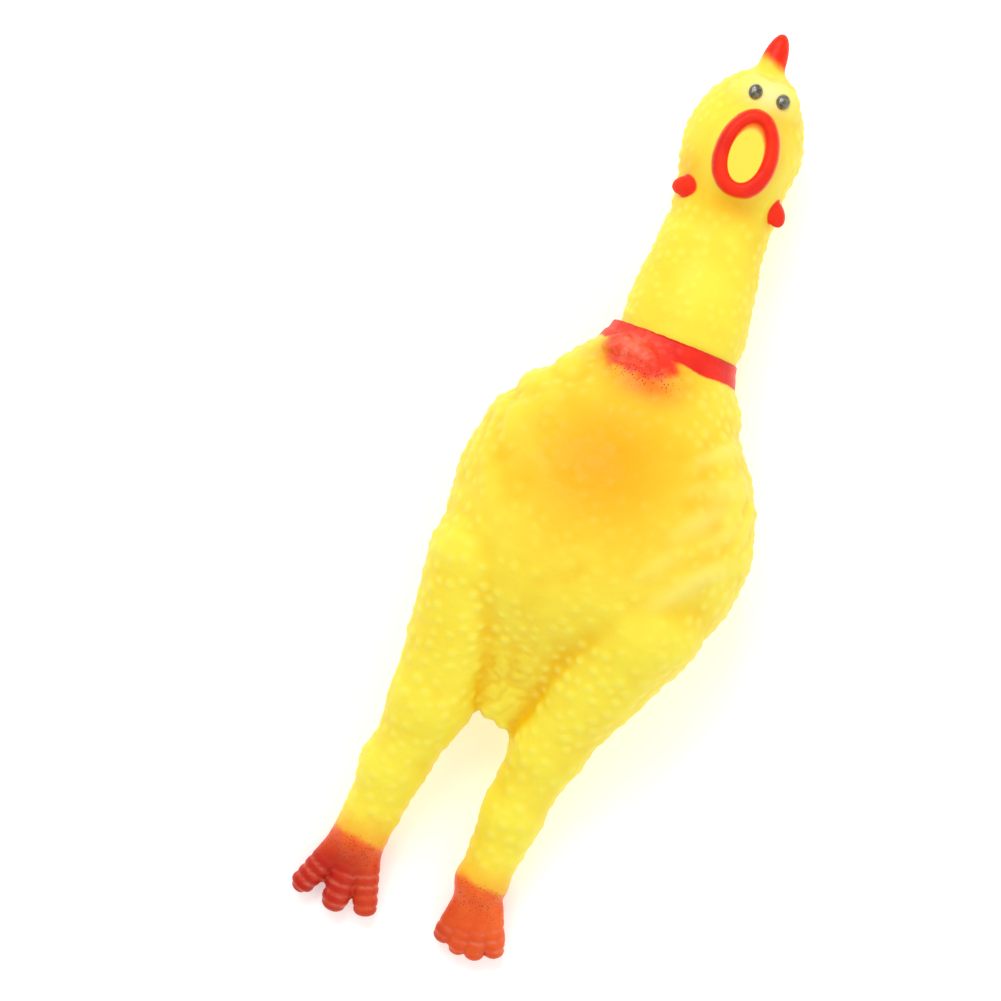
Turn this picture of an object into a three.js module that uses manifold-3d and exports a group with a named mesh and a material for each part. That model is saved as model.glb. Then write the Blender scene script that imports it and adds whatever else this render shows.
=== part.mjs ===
// Rubber chicken: a soft vinyl squeeze toy that lies on its back.
// +Y runs up to the head, +Z is the belly side, and z = 0 is the surface that it lies on.
// The origin is the middle of the flat patch on its back. Left and right are the chicken's own,
// so its left is +X. Sizes are in millimetres and angles in degrees.
//
// The body and the head-and-neck are two hollow vinyl mouldings. Each is cut into stiff sleeves
// where the vinyl bends, and the sleeves meet in balls and sockets, so that the toy can be posed.

import * as THREE from 'three';
import { mergeVertices } from 'three/addons/utils/BufferGeometryUtils.js';
import Module from 'manifold-3d';

const wasm = await Module();
wasm.setup();

// ---- Driving dimensions ----

const clearance = 0.3; // between pieces that touch
const skinWall = 1.8; // vinyl of the torso, belly, neck and head
const legWall = 1.5; // vinyl of the legs

const torsoLength = 69; // collar's foot to the tail end
const torsoWidth = 53.4;
const bellyHeight = 38; // floor to the top of the belly
const backFlat = 0.8; // how far the round of the back is pressed flat by its own weight
const collarFromRest = 32; // from the middle of the flat patch up to the collar's foot
const torsoSway = 3.8; // how far the tail end leans to the chicken's right

const pressWidth = 34; // the part of the belly that a thumb pushes in
const pressLength = 38;
const pressFromRest = -1;

const wingLength = 31;
const wingWidth = 18;
const wingThickness = 4.5;
const wingSink = 3.6; // wing's middle inside the torso's widest point
const wingTilt = 7; // upper end turned in
const wingFromRest = 7;
const wingLift = 1; // wing's middle above the torso's

const bowLobeWidth = 9.2;
const bowLobeHeight = 6;
const bowLobeDepth = 4.8;
const bowLobeTilt = 14; // outer ends turned up or down to the same hand
const bowSpacing = 8.4; // lobe to lobe
const bowShift = -2.5; // bow's middle from the torso's
const bowDrop = 3.6; // below the collar's foot
const bowLift = 1; // in front of the collar's foot

const tailWidth = 16;
const tailHeight = 9;
const tailDepth = 10;
const tailInset = 4; // tail's middle from the tail end
const tailDrop = 2; // below the hips

const collarHeight = 3.8;
const collarFlare = 0.75; // foot radius less rim radius
const collarWall = 1.0; // at the rim, outside the neck's seat

const neckHeight = 14; // centre line above the floor
const neckOffset = 0.7; // centre line to the chicken's left of the torso's middle
const neckRootRadius = 10.8; // ball at the foot of the neck
const neckRise = 2.8; // ball's centre above the collar's rim
const neckTopRadius = 8.4; // ball at the top of the neck
const neckLength = 19.5; // from ball centre to ball centre
const neckTilt = 3.2;
const throatHole = 4.6;

const headWidth = 20.2;
const headDepth = 19.6;
const headLength = 27; // throat ball's centre to the crown
const headTurn = 8; // face turned to the chicken's left
const headRim = 2.5; // head's lower edge above the throat ball's centre

const mouthWidth = 5.6; // opening inside the lips
const mouthHeight = 10;
const lipThickness = 2.4;
const muzzleReach = 3.0; // lips in front of the face
const muzzleMargin = 0.7; // muzzle outside the middle of the lips
const mouthFromThroat = 12;

const eyeRadius = 1.4;
const eyeTall = 1.1; // times as high as wide
const eyeSpacing = 5.1;
const eyeFromThroat = 22.8;
const eyeSeat = 0.74; // share of the head's half depth where the eyes sit

const wattleWidth = 3.6;
const wattleHeight = 4.4;
const wattleSpacing = 16.4;
const wattleFromThroat = 4.4;
const wattleSeat = 0.55; // share of the head's half depth

const combRadius = 2.4;
const combRoot = 2.5; // foot below the crown
const combHeight = 6.4; // above the crown

const hipSpacing = 21.6;
const hipShift = -4.8; // midway between the hips, from the torso's middle
const hipFromTail = 1; // hips' centres above the tail end
const hipHeight = 13;
const legLean = 6; // feet to the chicken's right
const legDrop = 15.6; // legs slope down to the floor
const thighLength = 15; // hip to knee
const shankLength = 14; // knee to ankle
const thighRadius = 7;
const kneeRadius = 5.3;
const ankleRadius = 4.5;
const legHole = 2.2; // air way through the sleeves of the leg
const kneeBend = 45; // largest bend that the knee has room for
const ankleBend = 30;

const footLength = 12.8; // ankle to the middle toe's tip
const toeRadius = 2.4;
const toeSpacing = 3.9; // toe to toe at their roots
const toeSpread = 9; // angle from toe to toe
const toeCount = 3;
const footThickness = 7;
const palmWidth = 11.3;
const palmLength = 9.2;
const palmDrop = 2.8; // palm's middle below the heel
const footLift = 11; // foot turned up from the leg's slope
const footTurns = { left: 8, right: 2 }; // to the outside of the leg's own line

const barrelRadius = 6;
const barrelWall = 1.2;
const barrelLength = 19;
const barrelDrop = 9; // below the neck's root ball centre
const shoulderHeight = 1.4;
const shoulderSeat = 4.8; // shoulder's lower face below the root ball centre
const capHeight = 1.6;
const capHole = 2.2;

const holderHeight = 2.0;
const troughRadius = 2.0;
const troughBore = 1.2;
const troughLength = 11;
const tongueWidth = 3.4;
const tongueThickness = 0.25;
const tongueLength = 12;
const wedgeLength = 2.2;
const wedgeHeight = 1.7;

// ---- Values that follow from them ----

const { degToRad } = THREE.MathUtils;
const halfDepth = (bellyHeight + backFlat) / 2;
const tailEndY = collarFromRest - torsoLength;
const collarRimY = collarFromRest + collarHeight;
const neckY = collarRimY + neckRise;
const neckSeatRadius = Math.sqrt(neckRootRadius ** 2 - neckRise ** 2) + clearance;
const collarRimRadius = neckSeatRadius + collarWall;
const collarFootRadius = collarRimRadius + collarFlare;
const far = 2 * (torsoLength + neckLength + headLength); // longer than the whole toy

// ---- Colours ----

const vinyl = { color: '#f6dc31', roughness: 0.32, metalness: 0 };
const chestVinyl = { color: '#f4c91f', roughness: 0.32, metalness: 0 };
const redVinyl = { color: '#d8381c', roughness: 0.34, metalness: 0 };
const whitePlastic = { color: '#e9e7df', roughness: 0.4, metalness: 0 };
const brass = { color: '#c9a45a', roughness: 0.3, metalness: 1 };

// ---- Solids ----

// A closed three.js geometry as a manifold solid, with its shared vertices merged.
function solid(geometry) {
  const bare = new THREE.BufferGeometry();
  bare.setAttribute('position', geometry.attributes.position);
  bare.setIndex(geometry.index);
  const merged = mergeVertices(bare, 1e-4);
  const corners = merged.index.array;
  const kept = [];
  for (let i = 0; i < corners.length; i += 3) {
    const [a, b, c] = corners.slice(i, i + 3);
    if (a !== b && b !== c && c !== a) {
      kept.push(a, b, c);
    }
  }
  return new wasm.Manifold(new wasm.Mesh({
    numProp: 3,
    vertProperties: merged.attributes.position.array,
    triVerts: Uint32Array.from(kept),
  }));
}

function part(name, shape, look) {
  const { vertProperties, triVerts } = shape.getMesh();
  const geometry = new THREE.BufferGeometry();
  geometry.setAttribute('position', new THREE.BufferAttribute(vertProperties, 3));
  geometry.setIndex(new THREE.BufferAttribute(triVerts, 1));
  geometry.computeVertexNormals();
  const mesh = new THREE.Mesh(geometry, new THREE.MeshStandardMaterial(look));
  mesh.name = name;
  return mesh;
}

function group(x, y, z) {
  const holder = new THREE.Group();
  holder.position.set(x, y, z);
  return holder;
}

const ball = (radius, across = 16, up = 12) => new THREE.SphereGeometry(radius, across, up);

function egg(halfX, halfY, halfZ, across = 12, up = 8) {
  return ball(1, across, up).scale(halfX, halfY, halfZ);
}

function box(sizeX, sizeY, sizeZ) {
  return new THREE.BoxGeometry(sizeX, sizeY, sizeZ);
}

// A skin of elliptical sections along Y. Stations run upwards, each with the section's middle
// (x, y, z) and its half width across X and half depth along Z.
function loft(stations, inset, rows, segments) {
  const middles = new THREE.CatmullRomCurve3(stations.map((s) => new THREE.Vector3(s.x, s.y, s.z)));
  const reaches = new THREE.CatmullRomCurve3(
    stations.map((s) => new THREE.Vector3(s.across, 0, s.deep)),
  );
  const outline = [new THREE.Vector2(0, 0)];
  for (let row = 0; row <= rows; row += 1) {
    outline.push(new THREE.Vector2(1, row / rows));
  }
  outline.push(new THREE.Vector2(0, 1));
  const geometry = new THREE.LatheGeometry(outline, segments);
  const place = geometry.attributes.position;
  for (let i = 0; i < place.count; i += 1) {
    const middle = middles.getPoint(place.getY(i));
    const reach = reaches.getPoint(place.getY(i));
    place.setXYZ(
      i,
      middle.x + place.getX(i) * (reach.x - inset),
      middle.y,
      middle.z + place.getZ(i) * (reach.z - inset),
    );
  }
  return solid(geometry);
}

function arc(centreY, radius, fromAngle, toAngle, steps) {
  const points = [];
  for (let step = 0; step <= steps; step += 1) {
    const angle = fromAngle + ((toAngle - fromAngle) * step) / steps;
    points.push(new THREE.Vector2(radius * Math.cos(angle), centreY + radius * Math.sin(angle)));
  }
  return points;
}

// A hollow sleeve along Y with a part ball at each end, each pierced by a round hole.
function sleeve({ lowY, lowRadius, lowHole, highY, highRadius, highHole, wall, segments }) {
  const lowEdge = (radius) => -Math.acos(lowHole / radius);
  const highEdge = (radius) => Math.acos(highHole / radius);
  const steps = 4;
  const outline = [
    ...arc(lowY, lowRadius, lowEdge(lowRadius), 0, steps),
    ...arc(highY, highRadius, 0, highEdge(highRadius), steps),
    ...arc(highY, highRadius - wall, highEdge(highRadius - wall), 0, steps),
    ...arc(lowY, lowRadius - wall, 0, lowEdge(lowRadius - wall), steps),
  ];
  outline.push(outline[0].clone());
  return solid(new THREE.LatheGeometry(outline, segments));
}

// A straight tube or ring along Y.
function ring(lowY, highY, outer, inner, segments = 20) {
  const corners = [[outer, lowY], [outer, highY], [inner, highY], [inner, lowY], [outer, lowY]];
  return solid(new THREE.LatheGeometry(corners.map(([x, y]) => new THREE.Vector2(x, y)), segments));
}

// An upright oval post along Z, from lowZ to highZ.
function ovalPost(halfX, halfY, lowZ, highZ, segments) {
  return new THREE.CylinderGeometry(1, 1, highZ - lowZ, segments)
    .rotateX(Math.PI / 2)
    .scale(halfX, halfY, 1)
    .translate(0, 0, (lowZ + highZ) / 2);
}

// ---- Torso ----

// From the tail end to the collar's foot: how far down the torso, share of the half width,
// share of the half depth, and how far the back lifts off the floor.
const torsoForm = [
  [1.00, 0.20, 0.18, 10.8],
  [0.92, 0.58, 0.49, 5.8],
  [0.83, 0.76, 0.71, 2.8],
  [0.72, 0.87, 0.87, 1.0],
  [0.60, 0.96, 0.97, 0.1],
  [0.46, 1.00, 1.00, 0],
  [0.34, 0.985, 0.98, 0],
  [0.217, 0.90, 0.915, 0.3],
  [0.107, 0.70, 0.79, 1.2],
];

function torsoStations(wall) {
  const stations = torsoForm.map(([down, wide, deep, lift]) => ({
    x: -torsoSway * down ** 2,
    y: collarFromRest - torsoLength * down + (down === 1 ? wall : 0),
    z: lift - backFlat + deep * halfDepth,
    across: (wide * torsoWidth) / 2,
    deep: deep * halfDepth,
  }));
  const foot = { x: neckOffset, z: neckHeight, across: collarFootRadius, deep: collarFootRadius };
  return [...stations, { ...foot, y: collarFromRest }];
}

function wing(side) {
  return solid(egg(wingThickness, wingLength / 2, wingWidth / 2)
    .rotateZ(degToRad(side * wingTilt))
    .translate(side * (torsoWidth / 2 - wingSink), wingFromRest, halfDepth + wingLift));
}

function bow() {
  const front = neckHeight + collarFootRadius + bowLift;
  const lobe = (side) => solid(egg(bowLobeWidth / 2, bowLobeHeight / 2, bowLobeDepth / 2, 10, 6)
    .rotateZ(degToRad(side * bowLobeTilt))
    .translate(bowShift + (side * bowSpacing) / 2, collarFromRest - bowDrop, front));
  return lobe(-1).add(lobe(1));
}

function tail() {
  return solid(egg(tailWidth / 2, tailHeight / 2, tailDepth / 2)
    .translate(-torsoSway, tailEndY + tailInset, hipHeight - tailDrop));
}

const pressPost = (shrink) => solid(
  ovalPost(pressWidth / 2 - shrink, pressLength / 2 - shrink, halfDepth, 2 * bellyHeight, 24)
    .translate(0, pressFromRest, 0),
);

const hipPlaces = {
  left: new THREE.Vector3(hipShift + hipSpacing / 2, tailEndY + hipFromTail, hipHeight),
  right: new THREE.Vector3(hipShift - hipSpacing / 2, tailEndY + hipFromTail, hipHeight),
};

function torsoAndBelly() {
  const collar = solid(
    new THREE.CylinderGeometry(collarRimRadius, collarFootRadius, collarHeight, 28)
      .translate(neckOffset, collarFromRest + collarHeight / 2, neckHeight),
  );
  const seat = solid(
    new THREE.CylinderGeometry(neckSeatRadius, neckSeatRadius, 4 * collarHeight, 28)
      .translate(neckOffset, collarRimY - collarHeight, neckHeight),
  );
  const hollow = loft(torsoStations(skinWall), skinWall, 12, 24).add(seat);
  const floor = solid(box(far, far, far).translate(0, 0, -far / 2));
  let skin = loft(torsoStations(0), 0, 14, 28)
    .add(collar)
    .add(wing(-1))
    .add(wing(1))
    .add(bow())
    .add(tail())
    .subtract(hollow)
    .subtract(floor);
  for (const place of Object.values(hipPlaces)) {
    skin = skin.subtract(solid(ball(thighRadius + clearance).translate(place.x, place.y, place.z)));
  }
  return {
    torso: skin.subtract(pressPost(0)),
    belly: skin.intersect(pressPost(clearance)),
  };
}

// ---- Neck and squeaker, from the centre of the neck's root ball ----

function neckSkin() {
  return sleeve({
    lowY: 0,
    lowRadius: neckRootRadius,
    lowHole: barrelRadius + clearance,
    highY: neckLength,
    highRadius: neckTopRadius,
    highHole: throatHole,
    wall: skinWall,
    segments: 24,
  });
}

const barrelFoot = -barrelDrop;
const barrelTop = barrelFoot + barrelLength;
const barrelBore = barrelRadius - barrelWall;
const holderFoot = barrelTop - holderHeight;
const troughFoot = holderFoot - troughLength;
const tongueTop = holderFoot - clearance;
const tongueZ = clearance + tongueThickness / 2;

function squeakerBarrel() {
  const seatRadius = Math.sqrt((neckRootRadius - skinWall) ** 2 - shoulderSeat ** 2);
  const shoulder = ring(
    -shoulderSeat,
    -shoulderSeat + shoulderHeight,
    seatRadius - clearance,
    barrelBore,
  );
  return ring(barrelFoot, barrelTop, barrelRadius, barrelBore).add(shoulder);
}

function squeakerCap() {
  return ring(barrelFoot, barrelFoot + capHeight, barrelBore - clearance, capHole);
}

// A round plug with a half-round trough hanging from it, closed at its foot.
function reedHolder() {
  const trough = ring(troughFoot, holderFoot + holderHeight / 2, troughRadius, troughBore)
    .add(ring(troughFoot, troughFoot + troughRadius - troughBore, troughRadius, troughBore / 2))
    .add(solid(
      new THREE.CylinderGeometry(troughBore, troughBore, troughRadius - troughBore, 24)
        .translate(0, troughFoot + (troughRadius - troughBore) / 2, 0),
    ));
  const front = solid(box(far, far, far).translate(0, 0, far / 2));
  return ring(holderFoot, barrelTop, barrelBore - clearance, troughBore).add(trough.subtract(front));
}

function reedTongue() {
  return solid(box(tongueWidth, tongueLength, tongueThickness)
    .translate(0, tongueTop - tongueLength / 2, tongueZ));
}

function reedWedge() {
  const low = tongueZ + tongueThickness / 2 + clearance;
  const outline = new THREE.Shape();
  outline.moveTo(-tongueWidth / 2, low);
  outline.lineTo(tongueWidth / 2, low);
  outline.lineTo(tongueWidth / 4, low + wedgeHeight);
  outline.lineTo(-tongueWidth / 4, low + wedgeHeight);
  const block = new THREE.ExtrudeGeometry(outline, { depth: wedgeLength, bevelEnabled: false });
  return solid(block.rotateX(Math.PI / 2).translate(0, tongueTop, 0));
}

// ---- Head, from the centre of the neck's top ball ----

// How far up the head, share of the half width and of the half depth.
const headForm = [
  [0.00, 0.95, 0.92],
  [0.20, 1.00, 0.97],
  [0.42, 1.02, 1.00],
  [0.68, 0.99, 0.98],
  [0.86, 0.80, 0.84],
  [0.96, 0.50, 0.52],
  [1.00, 0.18, 0.20],
];

function headStations(wall) {
  return headForm.map(([up, wide, deep]) => ({
    x: 0,
    y: up * headLength - (up === 1 ? wall : 0),
    z: 0,
    across: (wide * headWidth) / 2,
    deep: (deep * headDepth) / 2,
  }));
}

// How far above the crown, how far to the left and to the front, and shares of the comb's radius
// across and in depth.
const combForm = [
  [-combRoot, -0.8, 0.5, 0.8, 1],
  [0.4 * combHeight, -1.3, 0.3, 0.55, 0.7],
  [combHeight, -0.6, 0.8, 0.2, 0.2],
];

function comb() {
  return loft(combForm.map(([up, aside, forward, wide, deep]) => ({
    x: aside,
    y: headLength + up,
    z: forward,
    across: wide * combRadius,
    deep: deep * combRadius,
  })), 0, 5, 10);
}

function headSkin() {
  const face = headDepth / 2;
  const lipZ = face + muzzleReach;
  const lipHalfX = mouthWidth / 2 + lipThickness / 2;
  const lipHalfY = mouthHeight / 2 + lipThickness / 2;
  const muzzle = solid(
    ovalPost(lipHalfX + muzzleMargin, lipHalfY + muzzleMargin, face / 2, lipZ, 20)
      .translate(0, mouthFromThroat, 0),
  );
  const lips = solid(new THREE.TorusGeometry(1, lipThickness / 2 / lipHalfX, 6, 20)
    .scale(lipHalfX, lipHalfY, lipHalfX)
    .translate(0, mouthFromThroat, lipZ));
  const mouth = solid(ovalPost(mouthWidth / 2, mouthHeight / 2, 0, far, 20)
    .translate(0, mouthFromThroat, 0));
  let skin = loft(headStations(0), 0, 10, 24).add(muzzle).add(lips).add(comb());
  for (const side of [-1, 1]) {
    skin = skin
      .add(solid(egg(wattleWidth / 2, wattleHeight / 2, wattleWidth / 2, 8, 6)
        .translate((side * wattleSpacing) / 2, wattleFromThroat, face * wattleSeat)))
      .add(solid(egg(eyeRadius, eyeRadius * eyeTall, eyeRadius, 8, 6)
        .translate((side * eyeSpacing) / 2, eyeFromThroat, face * eyeSeat)));
  }
  const below = solid(box(far, far, far).translate(0, headRim - far / 2, 0));
  return skin
    .subtract(loft(headStations(skinWall), skinWall, 8, 20))
    .subtract(solid(ball(neckTopRadius + clearance, 24, 16)))
    .subtract(mouth)
    .subtract(below);
}

// ---- Legs, each piece from the centre of the joint above it ----

// Two round ends that face each other keep clear through a bend with this much between them.
const bendGap = (radius, bend) => 2 * radius * (1 / Math.cos(degToRad(bend / 2)) - 1) + clearance;
const kneeStandoff = kneeRadius + bendGap(kneeRadius, kneeBend) / 2;
const ankleStandoff = ankleRadius + bendGap(ankleRadius, ankleBend) / 2;

function thigh() {
  return sleeve({
    lowY: kneeStandoff - thighLength,
    lowRadius: kneeRadius,
    lowHole: legHole,
    highY: 0,
    highRadius: thighRadius,
    highHole: legHole,
    wall: legWall,
    segments: 16,
  });
}

function shank() {
  return sleeve({
    lowY: ankleStandoff - shankLength,
    lowRadius: ankleRadius,
    lowHole: legHole,
    highY: -kneeStandoff,
    highRadius: kneeRadius,
    highHole: legHole,
    wall: legWall,
    segments: 16,
  });
}

function foot() {
  const heelY = -ankleStandoff;
  let shape = solid(ball(ankleRadius, 14, 10).translate(0, heelY, 0))
    .add(solid(egg(palmWidth / 2, palmLength / 2, footThickness / 2)
      .translate(0, heelY - palmDrop, 0)));
  const toeReach = footLength - toeRadius + heelY;
  for (let toe = 0; toe < toeCount; toe += 1) {
    const fromMiddle = toe - (toeCount - 1) / 2;
    shape = shape.add(solid(new THREE.CapsuleGeometry(toeRadius, toeReach, 3, 10)
      .translate(0, -toeReach / 2, 0)
      .rotateZ(fromMiddle * degToRad(toeSpread))
      .translate(fromMiddle * toeSpacing, heelY, 0)));
  }
  return shape;
}

function leg(side) {
  const line = group(...hipPlaces[side]);
  line.rotation.z = -degToRad(legLean);
  const slope = group(0, 0, 0);
  slope.rotation.x = degToRad(legDrop);
  const lower = group(0, -thighLength, 0);
  const end = group(0, -shankLength, 0);
  const outward = side === 'left' ? 1 : -1;
  end.rotation.set(-degToRad(footLift), 0, outward * degToRad(footTurns[side]));
  slope.add(part(`thigh_${side}`, thigh(), vinyl), lower);
  lower.add(part(`shank_${side}`, shank(), vinyl), end);
  end.add(part(`foot_${side}`, foot(), redVinyl));
  line.add(slope);
  return line;
}

// ---- The whole toy ----

const chicken = new THREE.Group();
const { torso, belly } = torsoAndBelly();
chicken.add(part('torso_skin', torso, vinyl), part('belly_skin', belly, chestVinyl));

const neck = group(neckOffset, neckY, neckHeight);
neck.rotation.z = degToRad(neckTilt);
neck.add(
  part('neck_skin', neckSkin(), vinyl),
  part('squeaker_barrel', squeakerBarrel(), whitePlastic),
  part('squeaker_cap', squeakerCap(), whitePlastic),
  part('reed_holder', reedHolder(), whitePlastic),
  part('reed_tongue', reedTongue(), brass),
  part('reed_wedge', reedWedge(), whitePlastic),
);
const head = group(0, neckLength, 0);
head.rotation.y = degToRad(headTurn);
head.add(part('head_skin', headSkin(), vinyl));
neck.add(head);
chicken.add(neck, leg('left'), leg('right'));

export default chicken;
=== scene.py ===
"""A squeeze-and-scream rubber chicken: soft yellow vinyl skins with sprayed red trim.

Every skin is sculpted as a solid of soft-joined forms, in millimetres, turned into one even
mesh, pimpled like plucked skin, and then cut where the toy bends.
+Y runs up to the head, +Z is the belly side, and the toy lies on z = 0.
"""

import math

import bpy
import numpy as np
from mathutils import Euler, Matrix, Vector


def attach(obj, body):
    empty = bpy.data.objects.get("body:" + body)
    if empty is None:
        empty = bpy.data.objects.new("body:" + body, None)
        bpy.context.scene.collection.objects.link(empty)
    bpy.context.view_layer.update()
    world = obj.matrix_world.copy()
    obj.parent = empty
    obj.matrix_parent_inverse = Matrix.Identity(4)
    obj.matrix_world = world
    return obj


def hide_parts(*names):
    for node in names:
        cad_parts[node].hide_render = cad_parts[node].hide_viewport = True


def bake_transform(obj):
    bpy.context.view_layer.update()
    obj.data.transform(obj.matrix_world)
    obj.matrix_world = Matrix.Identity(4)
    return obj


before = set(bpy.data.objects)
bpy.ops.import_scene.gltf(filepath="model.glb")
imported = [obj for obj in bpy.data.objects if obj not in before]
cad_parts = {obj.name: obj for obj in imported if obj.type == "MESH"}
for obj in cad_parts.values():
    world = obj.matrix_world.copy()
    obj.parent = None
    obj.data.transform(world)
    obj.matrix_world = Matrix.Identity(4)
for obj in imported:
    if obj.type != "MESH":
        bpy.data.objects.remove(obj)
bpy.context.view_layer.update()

MM = 0.001


def placed(name, data):
    """A new object with this data, in the scene."""
    obj = bpy.data.objects.new(name, data)
    bpy.context.collection.objects.link(obj)
    return obj


# ---- Sculpting: fields that are negative inside a form, in millimetres ----


def melt(a, b, soft):
    """Two forms joined, with a fillet about as wide as soft."""
    share = np.clip(0.5 + 0.5 * (b - a) / soft, 0, 1)
    return b + (a - b) * share - soft * share * (1 - share)


def carve(a, b, soft):
    """Form a with form b taken out of it."""
    return -melt(-a, b, soft)


def trim(a, b, soft):
    """What is inside both forms."""
    return -melt(-a, -b, soft)


def local(p, centre, y=0.0, z=0.0):
    """Points as seen from a form's middle, turned by degrees about Y and Z."""
    turn = Euler((0.0, math.radians(y), math.radians(z))).to_matrix()
    return (p - np.array(centre)) @ np.array(turn)


def egg(p, radii):
    """An egg about the origin."""
    radii = np.array(radii, float)
    near = np.linalg.norm(p / radii, axis=1)
    return near * (near - 1) / np.maximum(np.linalg.norm(p / radii**2, axis=1), 1e-9)


def add_eggs(shape, p, rows, soft):
    """Joins eggs to a form: each one's middle, radii and turn about Z."""
    for centre, radii, turn in rows:
        shape = melt(shape, egg(local(p, centre, z=turn), radii), soft)
    return shape


def limb(p, start, end, start_radius, end_radius):
    """A round-ended limb that tapers from one radius to another."""
    start = np.array(start, float)
    run = np.array(end, float) - start
    share = np.clip((p - start) @ run / (run @ run), 0, 1)
    gap = np.linalg.norm(p - start - share[:, None] * run, axis=1)
    return gap - (start_radius + (end_radius - start_radius) * share)


def ramp(value, low, high):
    """Eases from 0 at low to 1 at high."""
    share = np.clip((value - low) / (high - low), 0, 1)
    return share * share * (3 - 2 * share)


def spot(p, centre, reach):
    """One at the centre of an oval patch, falling to nothing at its reach."""
    return np.exp(-2 * (((p - np.array(centre)) / np.array(reach)) ** 2).sum(axis=1))


def profile(rows):
    """A smooth curve through rows of (y, value, value, ...), as a function of y."""
    rows = np.array(sorted(rows), float)
    y, values = rows[:, 0], rows[:, 1:]
    slope = np.gradient(values, y, axis=0)
    fine = np.linspace(y[0], y[-1], 600)
    i = np.clip(np.searchsorted(y, fine, side="right") - 1, 0, len(y) - 2)
    step = (y[i + 1] - y[i])[:, None]
    t = (fine - y[i])[:, None] / step
    curve = (2 * t**3 - 3 * t**2 + 1) * values[i] + (t**3 - 2 * t**2 + t) * step * slope[i]
    curve += (3 * t**2 - 2 * t**3) * values[i + 1] + (t**3 - t**2) * step * slope[i + 1]
    return lambda at: [np.interp(at, fine, column) for column in curve.T]


def oval_column(across, up, half_across, half_up):
    """An endless column with an oval section."""
    near = np.hypot(across / half_across, up / half_up)
    steep = np.hypot(across / half_across**2, up / half_up**2)
    return near * (near - 1) / np.maximum(steep, 1e-9)


def loft(p, shape):
    """A form of oval sections along Y: right edge, left edge, back and front at each y."""
    low_x, high_x, back, front = shape(p[:, 1])
    across = p[:, 0] - (low_x + high_x) / 2
    deep = p[:, 2] - (back + front) / 2
    return oval_column(across, deep, (high_x - low_x) / 2, (front - back) / 2)


# ---- Body, legs and feet ----

torso_shape = profile([
    (-40, -9.6, -0.5, 8.6, 13.0),
    (-37, -11.4, 1.8, 7.0, 15.0),
    (-33, -14.5, 5.6, 4.6, 17.6),
    (-28, -18.5, 9.9, 2.2, 21.2),
    (-21, -22.0, 15.6, 0.6, 27.0),
    (-14, -24.2, 21.4, 0.0, 33.2),
    (-6, -25.6, 25.4, -0.6, 36.8),
    (0, -25.9, 26.3, -0.8, 37.7),
    (6, -25.6, 26.0, -0.8, 37.4),
    (12, -24.0, 23.1, -0.7, 36.2),
    (18, -21.6, 20.2, -0.2, 33.8),
    (24, -17.8, 17.0, 0.6, 30.6),
    (28, -15.4, 15.6, 1.2, 28.4),
    (32, -12.4, 13.2, 1.9, 26.5),
    (36, -11.2, 12.2, 2.6, 25.6),
])

# The middle of each leg at the seat, hip, knee and ankle, with its radius.
leg_lines = {
    "left": [
        (12.0, -11, 22.4, 11.4),
        (5.9, -37, 13.6, 6.1),
        (4.5, -50.4, 9.2, 5.0),
        (3.9, -63.8, 5.8, 4.5),
    ],
    "right": [
        (-17.2, -11, 21.6, 9.0),
        (-15.9, -37, 13.6, 6.9),
        (-17.8, -50.4, 9.2, 5.3),
        (-18.8, -63.8, 5.8, 4.6),
    ],
}
# The legs and feet lie on either side of this x.
between_legs = -7
# Each toe's root and tip, with its radii.
toe_lines = {
    "left": [
        ((2.6, -67.6, 5.0), (1.2, -74.4, 3.3), 2.4, 1.95),
        ((4.2, -67.8, 5.2), (4.2, -75.5, 3.4), 2.4, 1.9),
        ((5.8, -67.8, 5.2), (7.2, -75.5, 3.4), 2.4, 1.9),
        ((7.0, -67.6, 5.0), (10.2, -73.9, 3.3), 2.4, 1.95),
    ],
    "right": [
        ((-21.2, -66.0, 5.0), (-25.0, -75.1, 3.3), 2.7, 2.2),
        ((-18.9, -66.0, 5.2), (-18.8, -75.9, 3.5), 2.8, 2.45),
        ((-16.8, -66.0, 5.0), (-13.5, -75.2, 3.4), 2.6, 2.2),
    ],
}
# Creases across the toes: pitch, depth, and the shift from one toe to the next.
crease_pitch = 1.9
crease_depth = 0.24
crease_shift = 0.7
# The web between the toes, as corners of a soft plate, and its half thickness.
webs = {
    "left": ((3.9, -63.8, 5.6), (1.4, -72.4, 3.7), (9.9, -72.0, 3.7), 1.6),
    "right": ((-18.8, -63.8, 5.6), (-23.8, -72.9, 3.3), (-14.2, -73.4, 3.3), 1.1),
}
collar_middle = (0.6, 33.9, 14.0)
collar_half = 1.95
collar_radius = 12.1
# The neck's round seat in the collar, and its foot.
seat_radius = 9.9
seat_low = 30.0
# Marks on the collar's outside start at this radius.
collar_inside = 10.4


def collar_line(p):
    """How far a point is from the neck's centre line, as at the collar."""
    return np.hypot(p[:, 0] - collar_middle[0], p[:, 2] - collar_middle[2])


def wing(p, side):
    """A folded wing with the long feathers showing as slanted ridges."""
    q = local(p, (side * 17.3 - 0.2, 12.0, 19.5), z=side * 25)
    blade = egg(q, (6.3, 13.4, 10.5))
    feather_pitch = 3.9
    feather_height = 0.4
    slant = (q[:, 1] * 0.5 + q[:, 2] * 0.87) / feather_pitch
    feathers = (0.5 + 0.5 * np.cos(2 * np.pi * slant)) ** 0.7
    return blade - feather_height * feathers * ramp(-q[:, 1], -8, 2)


def leg(p, side):
    """Drumstick and shank, as three limbs from the seat to the ankle."""
    line = leg_lines[side]
    drumstick, *lower = (limb(p, a[:3], b[:3], a[3], b[3]) for a, b in zip(line, line[1:]))
    for piece in lower:
        drumstick = melt(drumstick, piece, 2.5)
    return drumstick


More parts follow.
